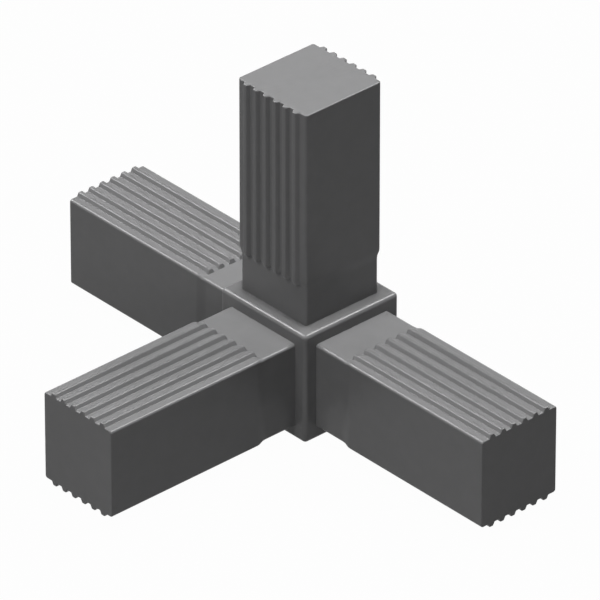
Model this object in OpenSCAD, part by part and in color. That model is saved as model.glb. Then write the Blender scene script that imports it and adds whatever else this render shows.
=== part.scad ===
// Push-in connector for square tube: a cubic hub with four ribbed legs.
// Two legs lie in line along X, one points to -Y and one stands up along Z.
// The origin is the centre of the hub's underside.

/* [Tube] */
// Outer side of the tube, which the hub's faces match
tube_side = 25; // [22:0.5:40]
// Wall thickness of the tube
tube_wall = 2; // [1:0.1:2.5]

/* [Hub] */
// Radius of the hub's edges
hub_r = 0.8; // [0.3:0.1:2]

/* [Leg] */
// Length of a leg from the hub's face to its tip
leg_len = 48.5; // [30:0.1:80]
// Gap between the tube's inner wall and a leg's smooth faces and valleys
leg_gap = 0.55; // [0.4:0.05:0.9]
// Radius of a leg's long edges
leg_r = 0.55; // [0.4:0.05:1]
// Radius of the edge round a leg's tip, which follows the ribs
tip_r = 0.3; // [0.1:0.05:0.35]
// Depth by which the end face sinks towards its middle, as thick mouldings do when they cool
end_sink = 0.1; // [0.05:0.05:0.3]

/* [Neck] */
// Length of the plain neck between the hub's face and the ribs
neck_len = 7.6; // [3:0.1:15]
// Depth of the neck below the leg's smooth faces and valleys
neck_step = 0.35; // [0.1:0.05:0.5]
// Length of the slope from the neck to the smooth faces
side_slope = 2; // [1.5:0.1:4]
// Length of the slope from the neck to the valleys
valley_slope = 1; // [0.7:0.1:1.4]
// Length of the steep slope at the end of each rib
rib_slope = 0.5; // [0.3:0.05:0.6]

/* [Ribs] */
// Number of ribs on each ribbed face
rib_count = 6; // [3:1:8]
// Depth by which the crests bite into the tube's inner wall
rib_bite = 0.2; // [0:0.05:0.3]
// Width of a rib across its crest
crest_w = 0.5; // [0.45:0.05:0.8]
// Width of a rib across its foot
foot_w = 1.35; // [1.2:0.05:1.6]
// Radius of the crest's edges
crest_r = 0.25; // [0.1:0.05:0.3]
// Radius in the corner at a rib's foot
foot_r = 0.2; // [0.1:0.05:0.3]
// Width of the plain land between the outer rib and the leg's edge
land_w = 2.1; // [1.5:0.1:3]

/* [Hidden] */

moulding = [0.27, 0.27, 0.275];

// Segments of the rounding at a crest, at a foot, at the leg's edge and round the tip
crest_steps = 2;
foot_steps = 1;
edge_steps = 4;
tip_steps = 3;

bore = tube_side - 2 * tube_wall;
leg_half = bore / 2 - leg_gap;
crest_half = bore / 2 + rib_bite;
rib_h = crest_half - leg_half;
flank_angle = atan2(2 * rib_h, foot_w - crest_w);
row_half = leg_half - land_w;
rib_pitch = (2 * row_half - foot_w) / (rib_count - 1);
neck_side = 2 * (leg_half - neck_step);

// The barrel's first ring lies this far inside the neck, so that the slopes rise out of it
buried = 0.3;
// The neck runs on this far inside the barrel
neck_overlap = 5;

// Points of an arc that rounds the corner at p between its neighbours a and b
function corner(a, p, b, r, steps) =
    let (
        to_a = (a - p) / norm(a - p),
        to_b = (b - p) / norm(b - p),
        half_angle = acos(to_a * to_b) / 2,
        centre = p + (to_a + to_b) / norm(to_a + to_b) * r / sin(half_angle),
        first = p + to_a * r / tan(half_angle) - centre,
        turn = (180 - 2 * half_angle) * sign(to_b.x * to_a.y - to_b.y * to_a.x)
    )
    [
        for (i = [0 : steps])
            let (angle = turn * i / steps)
            centre + [
                first.x * cos(angle) - first.y * sin(angle),
                first.x * sin(angle) + first.y * cos(angle)
            ]
    ];

// Corners of the upper half of the section, drawn in by inset, each with its radius and steps
function half_section(inset) =
    let (
        narrower = inset * tan(flank_angle / 2),
        crest = crest_w / 2 - narrower,
        foot = foot_w / 2 - narrower,
        valley = leg_half - inset,
        top = crest_half - inset,
        sharpest = crest_r / 10
    )
    [
        [[valley, valley], leg_r - inset, edge_steps],
        for (i = [rib_count - 1 : -1 : 0])
            let (middle = (i - (rib_count - 1) / 2) * rib_pitch)
            each [
                [[middle + foot, valley], foot_r + inset, foot_steps],
                [[middle + crest, top], max(crest_r - inset, sharpest), crest_steps],
                [[middle - crest, top], max(crest_r - inset, sharpest), crest_steps],
                [[middle - foot, valley], foot_r + inset, foot_steps]
            ],
        [[-valley, valley], leg_r - inset, edge_steps]
    ];

// Outline of the leg's section, anticlockwise: the lower half is the upper one turned round
function outline(inset) =
    let (
        upper = half_section(inset),
        lower = [for (c = upper) [-c[0], c[1], c[2]]],
        corners = concat(upper, lower),
        n = len(corners)
    )
    [
        for (i = [0 : n - 1])
            each corner(
                corners[(i + n - 1) % n][0],
                corners[i][0],
                corners[(i + 1) % n][0],
                corners[i][1],
                corners[i][2]
            )
    ];

// Depth left below the finished face, at a distance along a slope that climbs out of the neck
function drop(distance, slope) = neck_step * (1 - min(1, distance / slope));

// The section at a distance past the neck's end, where the ribs have risen to a share of their height.
// Only the leg's edges move in with the smooth faces, so the ribs stay straight.
function rising_ring(distance, rise) =
    let (
        side_drop = drop(distance, side_slope),
        face_drop = drop(distance, valley_slope)
    )
    [
        for (p = outline(0))
            let (
                rib_part = max(0, abs(p.y) - leg_half),
                x = abs(p.x) - (abs(p.x) > row_half + foot_r ? side_drop : 0),
                y = abs(p.y) - face_drop - rib_part * (1 - rise)
            )
            [sign(p.x) * x, sign(p.y) * y, neck_len + distance]
    ];

// The section on the rounded tip, at an angle from 0 at its start to 90 on the end face
function tip_ring(angle) =
    let (inset = tip_r * (1 - cos(angle)))
    [for (p = outline(inset)) [p.x, p.y, leg_len - tip_r + tip_r * sin(angle)]];

// Solid through a list of rings that all have the same number of points. The end face is a shallow
// fan that meets at the apex.
module loft(rings, apex) {
    n = len(rings[0]);
    last = len(rings) - 1;
    walls = [
        for (k = [0 : last - 1], i = [0 : n - 1])
            let (
                a = k * n + i,
                b = k * n + (i + 1) % n
            )
            each [[a, a + n, b], [b, a + n, b + n]]
    ];
    start_cap = [for (i = [0 : n - 1]) i];
    end_fan = [for (i = [0 : n - 1]) [last * n + (i + 1) % n, last * n + i, (last + 1) * n]];
    polyhedron(
        points = concat([for (ring = rings) each ring], [apex]),
        faces = concat(walls, [start_cap], end_fan)
    );
}

module rounded_square(side, r) {
    square([side, side - 2 * r], center = true);
    square([side - 2 * r, side], center = true);
    for (x = [-1, 1], y = [-1, 1])
        translate([x, y] * (side / 2 - r)) circle(r, $fn = 32);
}

// Cube whose edges are rounded by drawing the same rounded square along all three axes
module hub() {
    intersection_for (turn = [[0, 0, 0], [90, 0, 0], [0, 90, 0]])
        rotate(turn)
            linear_extrude(2 * tube_side, center = true)
                rounded_square(tube_side, hub_r);
}

// Square neck and ribbed barrel, from the hub's centre up along Z, with ribs on the Y faces
module leg() {
    linear_extrude(tube_side / 2 + neck_len + neck_overlap)
        rounded_square(neck_side, leg_r);
    translate([0, 0, tube_side / 2])
        loft(
            [
                rising_ring(-buried, 0),
                rising_ring(rib_slope, 1),
                rising_ring(valley_slope, 1),
                rising_ring(side_slope, 1),
                for (i = [0 : tip_steps]) tip_ring(90 * i / tip_steps)
            ],
            [0, 0, leg_len - end_sink]
        );
}

module connector() {
    color(moulding)
        translate([0, 0, tube_side / 2]) {
            hub();
            leg();
            for (heading = [-90, 0, 90])
                rotate([90, 0, heading]) leg();
        }
}

connector();
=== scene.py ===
import math

import bmesh
import bpy
from bpy.props import FloatProperty, FloatVectorProperty, IntProperty, PointerProperty
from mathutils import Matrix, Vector


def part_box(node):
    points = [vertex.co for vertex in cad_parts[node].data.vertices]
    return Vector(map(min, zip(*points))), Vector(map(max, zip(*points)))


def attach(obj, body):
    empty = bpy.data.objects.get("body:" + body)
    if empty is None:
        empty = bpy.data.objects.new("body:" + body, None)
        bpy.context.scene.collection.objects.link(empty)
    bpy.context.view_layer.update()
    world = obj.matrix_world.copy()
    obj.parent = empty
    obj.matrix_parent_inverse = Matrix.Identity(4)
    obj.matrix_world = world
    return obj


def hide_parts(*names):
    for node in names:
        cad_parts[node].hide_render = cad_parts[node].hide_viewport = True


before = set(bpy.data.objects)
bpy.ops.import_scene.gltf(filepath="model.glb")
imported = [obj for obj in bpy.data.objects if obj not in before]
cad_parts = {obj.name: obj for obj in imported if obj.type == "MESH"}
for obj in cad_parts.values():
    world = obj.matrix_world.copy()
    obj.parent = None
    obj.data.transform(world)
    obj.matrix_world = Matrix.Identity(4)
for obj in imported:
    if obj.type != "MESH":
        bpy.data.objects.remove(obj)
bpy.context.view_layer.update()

bl_info = {
    "name": "Square tube connector",
    "version": (1, 0, 0),
    "blender": (4, 5, 0),
    "location": "3D View > Sidebar > Connector",
    "description": "Builds a moulded push-in connector for square tube and a small studio round it",
    "category": "Add Mesh",
}

MM = 0.001
# A vertex that lies this near to a line or a height counts as on it
NEAR = 0.02 * MM
# Rings of the leg's slope that would come closer than this to a rib's end are left out
RING_GAP = 0.1 * MM
# Vertices closer than this are merged after the union, and edges shorter than a sliver dissolved
MERGE = 0.0005 * MM
SLIVER = 0.0001 * MM
# Faces that meet at a smaller angle are shaded as one surface
SMOOTH_ANGLE = math.radians(24)
# Most values of a noise texture lie between these two
NOISE_LOW, NOISE_HIGH = 0.3, 0.7

# The hub's plain side is the box's +Y side, and the X legs reach the box's ends
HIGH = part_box("connector")[1]
HUB_SIDE = 2 * HIGH.y
LEG_LENGTH = HIGH.x - HIGH.y
HUB_CENTRE = Vector((0, 0, HUB_SIDE / 2))
LIGHT_TARGET = Vector((0, 0, 30 * MM))
# Width of the camera's sensor in millimetres, and the nearest and farthest that it sees in metres
SENSOR_WIDTH = 36
CLIP_START, CLIP_END = 0.1, 20

PIECE = "connector_moulding"
MATERIAL = "satin moulding"


def length(name, description, default, low=0.0):
    """A size in metres that a user may change."""
    return FloatProperty(
        name=name,
        description=description,
        default=default,
        min=low,
        precision=5,
        subtype="DISTANCE",
        unit="LENGTH",
    )


def share(name, description, default):
    """A value from 0 to 1."""
    return FloatProperty(name=name, description=description, default=default, min=0, max=1, subtype="FACTOR")


def power(name, description, default):
    """The power of a light in watts."""
    return FloatProperty(name=name, description=description, default=default, min=0, unit="POWER")


def angle(name, description, degrees):
    """An angle, given in degrees."""
    return FloatProperty(name=name, description=description, default=math.radians(degrees), subtype="ANGLE")


def number(name, description, default):
    """A small whole number of things."""
    return IntProperty(name=name, description=description, default=default, min=1, max=12)


class ConnectorHub(bpy.types.PropertyGroup):
    """Sizes of the cubic hub."""

    side: length("Side", "Side of the hub, the same as the tube's outer side", HUB_SIDE)
    edge_radius: length("Edge radius", "Radius of the hub's edges", 0.9 * MM)
    segments: number("Segments", "Segments of the hub's rounded edges", 5)


class ConnectorLeg(bpy.types.PropertyGroup):
    """Sizes of one leg, without its ribs."""

    reach: length("Length", "Length from the hub's face to the tip", LEG_LENGTH)
    width: length("Width", "Width across the smooth faces", 19.9 * MM)
    edge_radius: length("Edge radius", "Radius of the long edges", 0.6 * MM)
    tip_radius: length("Tip radius", "Radius of the edge round the tip", 0.24 * MM)
    neck: length("Neck length", "Length of the plain neck beside the hub, up to the ribs", 8.7 * MM)
    step: length("Neck step", "Depth of the neck below the smooth faces", 0.35 * MM)
    slope_start: length("Slope start", "Length of the neck up to the slopes of the smooth faces", 7.4 * MM)
    side_slope: length("Side slope", "Length of the soft slope from the neck to the smooth faces", 3 * MM)
    slope_rings: number("Slope rings", "Rings along the soft slope", 8)
    valley_slope: length("Valley slope", "Length of the slope from the neck to the valleys", 1 * MM)
    rib_slope: length("Rib slope", "Length of the steep slope at the end of each rib", 0.25 * MM)
    sink: length("Sink", "Depth by which the end face sinks towards its middle", 0.1 * MM)
    root: length("Root", "Depth to which the leg runs on inside the hub", 2 * MM)


class ConnectorRibs(bpy.types.PropertyGroup):
    """Sizes of the row of ribs on a leg's ribbed faces."""

    count: number("Count", "Number of ribs on each ribbed face", 6)
    height: length("Height", "Height of a rib above the valleys", 0.8 * MM)
    crest: length("Crest width", "Width of a rib across its crest", 0.9 * MM)
    foot: length("Foot width", "Width of a rib across its foot", 1.75 * MM)
    crest_radius: length("Crest radius", "Radius of the crest's edges", 0.28 * MM)
    foot_radius: length("Foot radius", "Radius in the corner at a rib's foot", 0.1 * MM)
    land: length("Land width", "Width of the plain land outside the outer ribs", 1.9 * MM)
    segments: number("Segments", "Segments of the rounding at a crest and round the tip", 4)


class ConnectorFinish(bpy.types.PropertyGroup):
    """Colour and surface of the moulding."""

    color: FloatVectorProperty(
        name="Colour",
        description="Colour of the plastic",
        default=(0.19, 0.19, 0.192),
        min=0,
        max=1,
        subtype="COLOR",
    )
    roughness: share("Roughness", "Middle of the roughness range", 0.33)
    roughness_spread: share("Roughness spread", "How far the roughness wanders", 0.05)
    roughness_size: length("Roughness size", "Size of the smoother and rougher patches", 1.2 * MM)
    specular: share("Specular", "Strength of the mirror-like reflection", 0.1)
    mottle: share("Mottle", "How far the colour wanders", 0.025)
    mottle_size: length("Mottle size", "Size of the lighter and darker patches", 3 * MM)
    grain_size: length("Grain size", "Size of the fine grain", 0.35 * MM)
    grain_depth: length("Grain depth", "Depth of the fine grain", 0.001 * MM)


class ConnectorStudio(bpy.types.PropertyGroup):
    """Camera, floor and lights."""

    azimuth: angle("Azimuth", "Turn of the camera round the part", 47.951)
    elevation: angle("Elevation", "Height of the camera above the horizon", 31.928)
    distance: length("Distance", "Distance from the camera to the hub's centre", 2188.3 * MM)
    aim_right: length("Aim right", "Place of the hub's centre right of the picture's centre", 1.903 * MM, -1)
    aim_up: length("Aim up", "Place of the hub's centre above the picture's centre", -8.642 * MM, -1)
    lens: FloatProperty(
        name="Lens",
        description="Focal length of the camera in millimetres",
        default=661.3,
        min=1,
        unit="CAMERA",
    )
    floor_side: length("Floor side", "Side of the square floor", 6)
    floor_white: share("Floor white", "Share of plain white in what the camera sees of the floor", 0.98)
    floor_paper: share("Floor paper", "Share of the light that the floor throws back", 0.1)
    top_light: power("Top light", "Power of the light overhead", 8.7)
    front_light: power("Front light", "Power of the light high before the side leg", 2.5)
    camera_light: power("Camera light", "Power of the light below the camera", 1.15)
    left_light: power("Left light", "Power of the light that shows the edges along X", 1.1)
    back_light: power("Back light", "Power of the light that shows the edges along Y", 1.6)
    edge_light: power("Edge lights", "Power of each light that only adds gloss along the edges", 22)


def name_object(name):
    """Names the object that was just added, and its mesh."""
    obj = bpy.context.object
    obj.name = name
    obj.data.name = name
    return obj


def pick(test):
    """Selects, in edit mode, the vertices of the active object whose place passes the test."""
    bpy.ops.mesh.select_mode(type="VERT")
    bpy.ops.mesh.select_all(action="DESELECT")
    data = bpy.context.object.data
    mesh = bmesh.from_edit_mesh(data)
    found = 0
    for vertex in mesh.verts:
        if test(vertex.co):
            vertex.select = True
            found += 1
    mesh.select_flush_mode()
    bmesh.update_edit_mesh(data)
    if not found:
        raise RuntimeError("no vertex lies where one was expected")


def only(obj):
    """Selects one object and makes it the active one."""
    bpy.ops.object.select_all(action="DESELECT")
    obj.select_set(True)
    bpy.context.view_layer.objects.active = obj


def setback(radius, turn):
    """How far from a corner a rounding of that radius starts, for a corner that turns by an angle."""
    return radius * math.tan(turn / 2)


def ease(t):
    """Share of the way down a soft slope that starts and ends level."""
    return t * t * (3 - 2 * t)


class MESH_OT_connector_hub(bpy.types.Operator):
    """Add the cubic hub with its rounded edges"""

    bl_idname = "mesh.connector_hub"
    bl_label = "Add hub"
    bl_options = {"REGISTER", "UNDO"}

    def execute(self, context):
        hub = context.scene.connector_hub
        bpy.ops.mesh.primitive_cube_add(size=hub.side, location=HUB_CENTRE)
        name_object("hub")
        bpy.ops.object.transform_apply(location=True, rotation=True, scale=True)
        bpy.ops.object.mode_set(mode="EDIT")
        bpy.ops.mesh.select_all(action="SELECT")
        bpy.ops.mesh.bevel(offset=hub.edge_radius, segments=hub.segments, affect="EDGES")
        bpy.ops.object.mode_set(mode="OBJECT")
        return {"FINISHED"}


class MESH_OT_connector_leg(bpy.types.Operator):
    """Add one ribbed leg, upright on the hub's top face"""

    bl_idname = "mesh.connector_leg"
    bl_label = "Add leg"
    bl_options = {"REGISTER", "UNDO"}

    def execute(self, context):
        leg = context.scene.connector_leg
        ribs = context.scene.connector_ribs
        face = context.scene.connector_hub.side
        start = face + leg.slope_start + leg.side_slope
        row_half = leg.width / 2 - ribs.land
        row_edge = row_half + ribs.foot_radius
        self.add_outline(leg, ribs, row_half, start)
        self.round_outline(leg, ribs, row_edge)
        self.raise_barrel(leg, ribs, start, face + leg.reach)
        self.run_down(leg, row_edge, face, start)
        bpy.ops.mesh.select_all(action="SELECT")
        bpy.ops.mesh.normals_make_consistent(inside=False)
        bpy.ops.object.mode_set(mode="OBJECT")
        return {"FINISHED"}

    def add_outline(self, leg, ribs, row_half, height):
        """Cuts a square sheet at every crest and foot line, and pulls the crest lines out."""
        half = leg.width / 2
        pitch = (2 * row_half - ribs.foot) / max(1, ribs.count - 1)
        middles = [(i - (ribs.count - 1) / 2) * pitch for i in range(ribs.count)]
        bpy.ops.mesh.primitive_plane_add(size=leg.width, location=(0, 0, height))
        name_object("leg")
        bpy.ops.object.transform_apply(location=True, rotation=True, scale=True)
        bpy.ops.object.mode_set(mode="EDIT")
        for middle in middles:
            for offset in (-ribs.foot / 2, -ribs.crest / 2, ribs.crest / 2, ribs.foot / 2):
                bpy.ops.mesh.select_all(action="SELECT")
                bpy.ops.mesh.bisect(plane_co=(middle + offset, 0, 0), plane_no=(1, 0, 0))
        pick(lambda p: any(abs(abs(p.x - m) - ribs.crest / 2) < NEAR for m in middles))
        bpy.ops.transform.resize(value=(1, (half + ribs.height) / half, 1), center_override=(0, 0, 0))
        bpy.ops.mesh.select_all(action="SELECT")
        bpy.ops.mesh.dissolve_faces()

    def round_outline(self, leg, ribs, row_edge):
        """Rounds the corners of the flat outline: crests, then the ribs' feet, then the leg's own four."""
        half = leg.width / 2
        flank = math.atan2(ribs.height, (ribs.foot - ribs.crest) / 2)
        pick(lambda p: abs(p.y) > half + NEAR)
        self.round_off(setback(ribs.crest_radius, flank), ribs.segments)
        pick(lambda p: abs(abs(p.y) - half) < NEAR and abs(p.x) < row_edge)
        self.round_off(setback(ribs.foot_radius, flank), ribs.segments - 1)
        pick(lambda p: abs(p.x) > half - NEAR)
        self.round_off(leg.edge_radius, ribs.segments + 1)

    def round_off(self, offset, segments):
        """Rounds the selected corners of the flat outline."""
        bpy.ops.mesh.bevel(offset=offset, segments=segments, affect="VERTICES", clamp_overlap=False)

    def raise_barrel(self, leg, ribs, start, tip):
        """Draws the outline up to the tip, rounds the edge there ring by ring and sinks the end face."""
        top = tip - leg.tip_radius
        bpy.ops.mesh.select_all(action="SELECT")
        bpy.ops.mesh.extrude_region_move(TRANSFORM_OT_translate={"value": (0, 0, top - start)})
        bpy.ops.mesh.select_all(action="SELECT")
        bpy.ops.mesh.normals_make_consistent(inside=False)
        pick(lambda p: p.z > top - NEAR)
        for i in range(ribs.segments):
            a = math.pi / 2 * i / ribs.segments
            b = math.pi / 2 * (i + 1) / ribs.segments
            bpy.ops.mesh.inset(
                thickness=leg.tip_radius * (math.cos(a) - math.cos(b)),
                depth=leg.tip_radius * (math.sin(b) - math.sin(a)),
                use_even_offset=True,
            )
        bpy.ops.mesh.poke(offset=-leg.sink)

    def run_down(self, leg, row_edge, face, start):
        """Draws the leg down to its neck and into the hub. The smooth sides fall by a long soft slope and
        the valleys by a short one, and the ribs end in steep noses."""
        neck_half = leg.width / 2 - leg.step
        foot = face + leg.slope_start
        ledge = face + leg.neck
        nose = ledge + leg.rib_slope
        rings = [foot + leg.side_slope * i / leg.slope_rings for i in range(leg.slope_rings)]
        rings = [h for h in rings if min(abs(h - ledge), abs(h - nose)) > RING_GAP]
        z, side_fall, face_fall = start, 0, 0
        for lower in sorted(rings + [nose, ledge], reverse=True):
            self.draw_down(z, lower)
            z = lower
            fall = leg.step * ease(1 - (z - foot) / leg.side_slope)
            self.move_sides(fall - side_fall, row_edge, z)
            side_fall = fall
            if z > ledge:
                fall = leg.step * max(0, 1 - (z - ledge) / leg.valley_slope)
                self.move_faces(fall - face_fall, z, lambda p: True)
                face_fall = fall
            elif z == ledge:
                self.move_faces(leg.step - face_fall, z, lambda p: abs(p.x) > row_edge)
                for side in (-1, 1):
                    pick(lambda p: abs(p.z - z) < NEAR and p.y * side > 0 and abs(p.x) < row_edge)
                    bpy.ops.transform.resize(value=(1, 0, 1), center_override=(0, side * neck_half, 0))
        self.draw_down(z, face - leg.root)

    def draw_down(self, start, end):
        """Draws the open end of the leg on from one height to another."""
        pick(lambda p: abs(p.z - start) < NEAR)
        bpy.ops.mesh.extrude_region_move(TRANSFORM_OT_translate={"value": (0, 0, end - start)})

    def move_sides(self, depth, row_edge, height):
        """Moves the smooth sides of the ring at a height in by a depth."""
        for side in (-1, 1):
            pick(lambda p: abs(p.z - height) < NEAR and p.x * side > row_edge)
            bpy.ops.transform.translate(value=(-side * depth, 0, 0))

    def move_faces(self, depth, height, test):
        """Moves the ribbed sides of the ring at a height in by a depth, where the test allows."""
        for side in (-1, 1):
            pick(lambda p: abs(p.z - height) < NEAR and p.y * side > 0 and test(p))
            bpy.ops.transform.translate(value=(0, -side * depth, 0))


class OBJECT_OT_connector_union(bpy.types.Operator):
    """Copy the leg to its four places and join everything into one moulding"""

    bl_idname = "object.connector_union"
    bl_label = "Join hub and legs"
    bl_options = {"REGISTER", "UNDO"}

    def execute(self, context):
        hub = bpy.data.objects["hub"]
        upright = bpy.data.objects["leg"]
        legs = [upright]
        for heading in (-90, 0, 90):
            legs.append(self.lay_down(context, upright, heading))
        for leg in legs:
            only(hub)
            union = hub.modifiers.new("union", "BOOLEAN")
            union.operation = "UNION"
            union.solver = "EXACT"
            union.object = leg
            bpy.ops.object.modifier_apply(modifier=union.name)
        for leg in legs:
            only(leg)
            bpy.ops.object.delete()
        only(hub)
        name_object(PIECE)
        bpy.ops.object.mode_set(mode="EDIT")
        bpy.ops.mesh.select_all(action="SELECT")
        bpy.ops.mesh.remove_doubles(threshold=MERGE)
        bpy.ops.mesh.dissolve_degenerate(threshold=SLIVER)
        bpy.ops.mesh.normals_make_consistent(inside=False)
        bpy.ops.object.mode_set(mode="OBJECT")
        self.refuse_open(hub)
        bpy.ops.object.shade_smooth_by_angle(angle=SMOOTH_ANGLE)
        weights = hub.modifiers.new("weights", "WEIGHTED_NORMAL")
        weights.keep_sharp = True
        bpy.ops.object.modifier_apply(modifier=weights.name)
        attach(hub, "root")
        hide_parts("connector")
        return {"FINISHED"}

    def lay_down(self, context, upright, heading):
        """Copies the upright leg, tips the copy over to -Y and turns it to a heading in degrees."""
        only(upright)
        bpy.ops.object.duplicate(linked=False)
        copy = context.object
        bpy.ops.object.mode_set(mode="EDIT")
        bpy.ops.mesh.select_all(action="SELECT")
        for axis, degrees in (("X", 90), ("Z", heading)):
            bpy.ops.transform.rotate(
                value=-math.radians(degrees),
                orient_axis=axis,
                orient_type="GLOBAL",
                center_override=HUB_CENTRE,
            )
        bpy.ops.object.mode_set(mode="OBJECT")
        return copy

    def refuse_open(self, obj):
        """Stops the script if the moulding isn't one closed skin."""
        mesh = bmesh.new()
        mesh.from_mesh(obj.data)
        loose = sum(1 for edge in mesh.edges if len(edge.link_faces) != 2)
        mesh.free()
        if loose:
            raise RuntimeError(f"the moulding has {loose} edges without two faces")


class OBJECT_OT_connector_finish(bpy.types.Operator):
    """Give the moulding its satin plastic surface"""

    bl_idname = "object.connector_finish"
    bl_label = "Apply finish"
    bl_options = {"REGISTER", "UNDO"}

    def execute(self, context):
        finish = context.scene.connector_finish
        material = bpy.data.materials.new(MATERIAL)
        material.use_nodes = True
        tree = material.node_tree
        shader = tree.nodes["Principled BSDF"]
        shader.inputs["Metallic"].default_value = 0
        shader.inputs["IOR"].default_value = 1.5
        shader.inputs["Specular IOR Level"].default_value = finish.specular
        place = tree.nodes.new("ShaderNodeTexCoord").outputs["Object"]

        def noise(size, detail):
            node = tree.nodes.new("ShaderNodeTexNoise")
            node.inputs["Scale"].default_value = 1 / size
            node.inputs["Detail"].default_value = detail
            tree.links.new(place, node.inputs["Vector"])
            return node.outputs["Fac"]

        def spread(source, middle, reach):
            node = tree.nodes.new("ShaderNodeMapRange")
            node.inputs["From Min"].default_value = NOISE_LOW
            node.inputs["From Max"].default_value = NOISE_HIGH
            node.inputs["To Min"].default_value = middle - reach
            node.inputs["To Max"].default_value = middle + reach
            tree.links.new(source, node.inputs["Value"])
            return node.outputs["Result"]

        mottle = spread(noise(finish.mottle_size, detail=5), 1, finish.mottle)
        tint = tree.nodes.new("ShaderNodeVectorMath")
        tint.operation = "SCALE"
        tint.inputs[0].default_value = finish.color
        tree.links.new(mottle, tint.inputs["Scale"])
        tree.links.new(tint.outputs["Vector"], shader.inputs["Base Color"])
        patches = noise(finish.roughness_size, detail=4)
        tree.links.new(spread(patches, finish.roughness, finish.roughness_spread), shader.inputs["Roughness"])
        bump = tree.nodes.new("ShaderNodeBump")
        bump.inputs["Distance"].default_value = finish.grain_depth
        tree.links.new(noise(finish.grain_size, detail=3), bump.inputs["Height"])
        tree.links.new(bump.outputs["Normal"], shader.inputs["Normal"])
        piece = bpy.data.objects[PIECE]
        piece.data.materials.clear()
        piece.data.materials.append(material)
        return {"FINISHED"}


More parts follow.
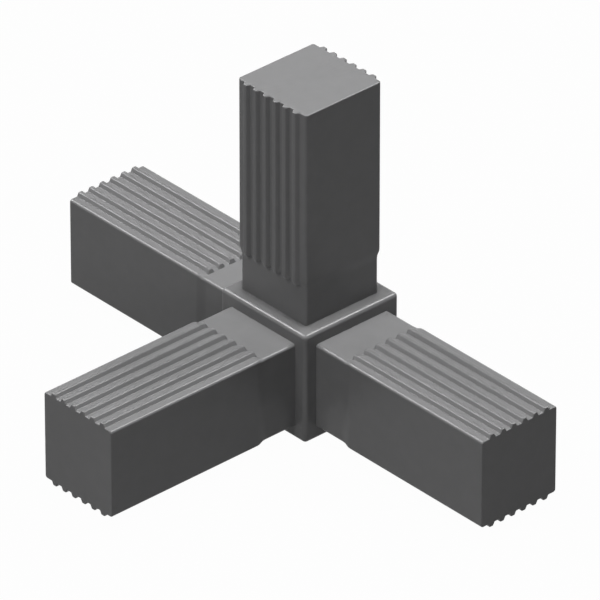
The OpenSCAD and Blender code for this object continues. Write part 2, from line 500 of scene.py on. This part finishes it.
class SCENE_OT_connector_studio(bpy.types.Operator):
    """Set up the floor, the lights and the camera"""

    bl_idname = "scene.connector_studio"
    bl_label = "Set up studio"
    bl_options = {"REGISTER", "UNDO"}

    def execute(self, context):
        studio = context.scene.connector_studio
        self.add_floor(studio)
        self.set_world(context)
        self.add_lights(studio)
        self.add_camera(context, studio)
        context.scene.view_settings.view_transform = "Standard"
        return {"FINISHED"}

    def add_floor(self, studio):
        """Adds a floor that looks white and throws little light back."""
        bpy.ops.mesh.primitive_plane_add(size=studio.floor_side, location=(0, 0, 0))
        floor = name_object("floor")
        material = bpy.data.materials.new("floor")
        material.use_nodes = True
        tree = material.node_tree
        paper = tree.nodes["Principled BSDF"]
        paper.inputs["Base Color"].default_value = (*[studio.floor_paper] * 3, 1)
        paper.inputs["Roughness"].default_value = 0.9
        glow = tree.nodes.new("ShaderNodeEmission")
        mix = tree.nodes.new("ShaderNodeMixShader")
        white = tree.nodes.new("ShaderNodeMath")
        white.operation = "MULTIPLY"
        white.inputs[1].default_value = studio.floor_white
        tree.links.new(self.seen_rays(tree), white.inputs[0])
        tree.links.new(white.outputs[0], mix.inputs["Fac"])
        tree.links.new(paper.outputs[0], mix.inputs[1])
        tree.links.new(glow.outputs[0], mix.inputs[2])
        tree.links.new(mix.outputs[0], tree.nodes["Material Output"].inputs["Surface"])
        floor.data.materials.append(material)

    def seen_rays(self, tree):
        """1 for a ray that shows a surface, straight or by a reflection, and 0 for one that lights it."""
        rays = tree.nodes.new("ShaderNodeLightPath")
        total = rays.outputs["Is Camera Ray"]
        for name in ("Is Glossy Ray", "Is Transmission Ray"):
            either = tree.nodes.new("ShaderNodeMath")
            either.operation = "MAXIMUM"
            tree.links.new(total, either.inputs[0])
            tree.links.new(rays.outputs[name], either.inputs[1])
            total = either.outputs[0]
        return total

    def set_world(self, context):
        """Makes the surroundings white to look at, without any light of their own on the part."""
        world = bpy.data.worlds.new("studio")
        context.scene.world = world
        world.use_nodes = True
        tree = world.node_tree
        background = tree.nodes["Background"]
        background.inputs["Color"].default_value = (1, 1, 1, 1)
        tree.links.new(self.seen_rays(tree), background.inputs["Strength"])

    def add_lights(self, studio):
        """Adds the soft lights, and two that show only as gloss along the edges, at places in metres."""
        self.add_area("top", (0, 0, 1), 0.12, studio.top_light)
        self.add_area("front", (0, -0.6, 0.8), 0.3, studio.front_light)
        self.add_area("camera", (0.7, -0.7, 0.3), 0.3, studio.camera_light)
        self.add_area("left", (-0.63, -0.1, 0.755), 0.15, studio.left_light)
        self.add_area("back", (0.1, 0.567, 0.81), 0.15, studio.back_light)
        for name, place in (("left edges", (-0.63, -0.24, 0.74)), ("back edges", (0.2, 0.567, 0.79))):
            light = self.add_area(name, place, 0.22, studio.edge_light)
            light.visible_diffuse = False

    def add_area(self, name, place, side, watts):
        """Adds a square light of a side in metres that faces the part."""
        bpy.ops.object.light_add(type="AREA", location=place)
        light = bpy.context.object
        light.name = name
        light.data.shape = "SQUARE"
        light.data.size = side
        light.data.energy = watts
        aim = LIGHT_TARGET - Vector(place)
        light.rotation_euler = aim.to_track_quat("-Z", "Y").to_euler()
        return light

    def add_camera(self, context, studio):
        """Adds the camera, which looks down over the corner between the side leg and the +X leg."""
        a, e = studio.azimuth, studio.elevation
        right = Vector((math.cos(a), math.sin(a), 0))
        back = Vector((math.sin(a) * math.cos(e), -math.cos(a) * math.cos(e), math.sin(e)))
        up = back.cross(right)
        place = HUB_CENTRE + back * studio.distance - right * studio.aim_right - up * studio.aim_up
        bpy.ops.object.camera_add(location=place, rotation=(math.pi / 2 - e, 0, a))
        camera = context.object
        camera.data.lens = studio.lens
        camera.data.sensor_width = SENSOR_WIDTH
        camera.data.clip_start = CLIP_START
        camera.data.clip_end = CLIP_END
        context.scene.camera = camera


class VIEW3D_PT_connector(bpy.types.Panel):
    """Lists the sizes and the steps in the sidebar"""

    bl_idname = "VIEW3D_PT_connector"
    bl_label = "Square tube connector"
    bl_space_type = "VIEW_3D"
    bl_region_type = "UI"
    bl_category = "Connector"

    def draw(self, context):
        for group in GROUPS:
            settings = getattr(context.scene, group)
            box = self.layout.box()
            for name in settings.__annotations__:
                box.prop(settings, name)
        for operator in STEPS:
            self.layout.operator(operator.bl_idname)


GROUPS = {
    "connector_hub": ConnectorHub,
    "connector_leg": ConnectorLeg,
    "connector_ribs": ConnectorRibs,
    "connector_finish": ConnectorFinish,
    "connector_studio": ConnectorStudio,
}
STEPS = (
    MESH_OT_connector_hub,
    MESH_OT_connector_leg,
    OBJECT_OT_connector_union,
    OBJECT_OT_connector_finish,
    SCENE_OT_connector_studio,
)


def register():
    for item in (*GROUPS.values(), *STEPS, VIEW3D_PT_connector):
        bpy.utils.register_class(item)
    for name, group in GROUPS.items():
        setattr(bpy.types.Scene, name, PointerProperty(type=group))


def unregister():
    for name in GROUPS:
        delattr(bpy.types.Scene, name)
    for item in (VIEW3D_PT_connector, *reversed(STEPS), *GROUPS.values()):
        bpy.utils.unregister_class(item)


def main():
    register()
    bpy.ops.object.select_all(action="DESELECT")
    bpy.ops.mesh.connector_hub()
    bpy.ops.mesh.connector_leg()
    bpy.ops.object.connector_union()
    bpy.ops.object.connector_finish()
    bpy.ops.scene.connector_studio()


if __name__ == "__main__":
    main()
